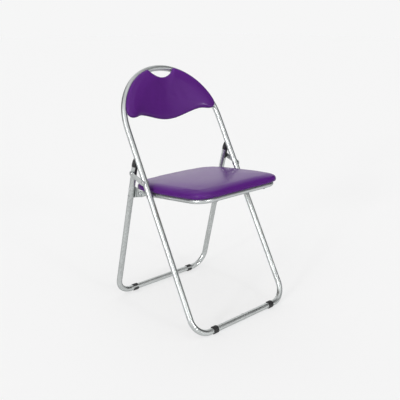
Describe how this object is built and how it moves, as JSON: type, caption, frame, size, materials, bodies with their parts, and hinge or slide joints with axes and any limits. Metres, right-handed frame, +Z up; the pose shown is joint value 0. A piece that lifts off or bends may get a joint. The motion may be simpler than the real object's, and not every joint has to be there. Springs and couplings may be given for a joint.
{
  "type": "folding dining chair",
  "caption": "Folding dining chair with bent silver tube frames, a dished padded backrest inside a hoop and a padded seat, folding flat on link straps.",
  "frame": {"origin": "on the floor, under the middle of the chair's bounding box", "axes": "+Z up, the sitter faces -Y, and +X is the sitter's left"},
  "size_m": [0.4316, 0.4524, 0.7985],
  "materials": {
    "frame_paint": "satin silver paint",
    "bare_steel": "plain drawn steel",
    "rivet_steel": "domed, zinc plated",
    "screw_steel": "zinc plated",
    "foot_rubber": "matte black",
    "cap_plastic": "smooth black",
    "board_wood": "raw pressed board",
    "pad_vinyl": "fine grained purple vinyl with a soft sheen"
  },
  "bodies": {
    "front_frame": {"front_frame_tube": "frame_paint", "front_frame_sleeve": "bare_steel", "front_foot_left": "foot_rubber", "front_foot_right": "foot_rubber", "backrest_board": "board_wood", "backrest_pad": "pad_vinyl", "backrest_screws": "screw_steel", "seat_pivot_rivet_left": "rivet_steel", "seat_pivot_rivet_right": "rivet_steel", "seat_pivot_spacer_left": "bare_steel", "seat_pivot_spacer_right": "bare_steel", "link_front_rivet_left": "rivet_steel", "link_front_rivet_right": "rivet_steel"},
    "seat": {"seat_ring_tube": "frame_paint", "seat_board": "board_wood", "seat_pad": "pad_vinyl", "seat_screws": "screw_steel", "seat_rear_rivet_left": "rivet_steel", "seat_rear_rivet_right": "rivet_steel"},
    "rear_frame": {"rear_frame_tube": "frame_paint", "rear_foot_left": "foot_rubber", "rear_foot_right": "foot_rubber", "end_cap_left": "cap_plastic", "end_cap_right": "cap_plastic", "leg_bracket_left": "frame_paint", "leg_bracket_right": "frame_paint", "bracket_rivets_left": "rivet_steel", "bracket_rivets_right": "rivet_steel"},
    "link_left": {"link_left": "frame_paint", "link_rear_rivet_left": "rivet_steel"},
    "link_right": {"link_right": "frame_paint", "link_rear_rivet_right": "rivet_steel"}
  },
  "joints": [
    {"name": "seat_fold", "type": "hinge", "parent": "front_frame", "child": "seat", "pos_m": [0, 0.00899, 0.41436], "axis": [-1, 0, 0], "range_deg": [0, 110.84]},
    {"name": "rear_frame_fold", "type": "hinge", "parent": "seat", "child": "rear_frame", "pos_m": [0, 0.08552, 0.40418], "axis": [1, 0, 0], "range_deg": [0, 67.6]},
    {"name": "link_left_fold", "type": "hinge", "parent": "front_frame", "child": "link_left", "pos_m": [0.2126, 0.03217, 0.45617], "axis": [-1, 0, 0], "range_deg": [0, 114.2]},
    {"name": "link_right_fold", "type": "hinge", "parent": "front_frame", "child": "link_right", "pos_m": [-0.2126, 0.03217, 0.45617], "axis": [-1, 0, 0], "range_deg": [0, 114.2]}
  ],
  "couplings": [
    {"joint": "rear_frame_fold", "follows": "seat_fold", "ratio": 0.60935},
    {"joint": "link_left_fold", "follows": "seat_fold", "ratio": 1.0295},
    {"joint": "link_right_fold", "follows": "seat_fold", "ratio": 1.0295}
  ]
}
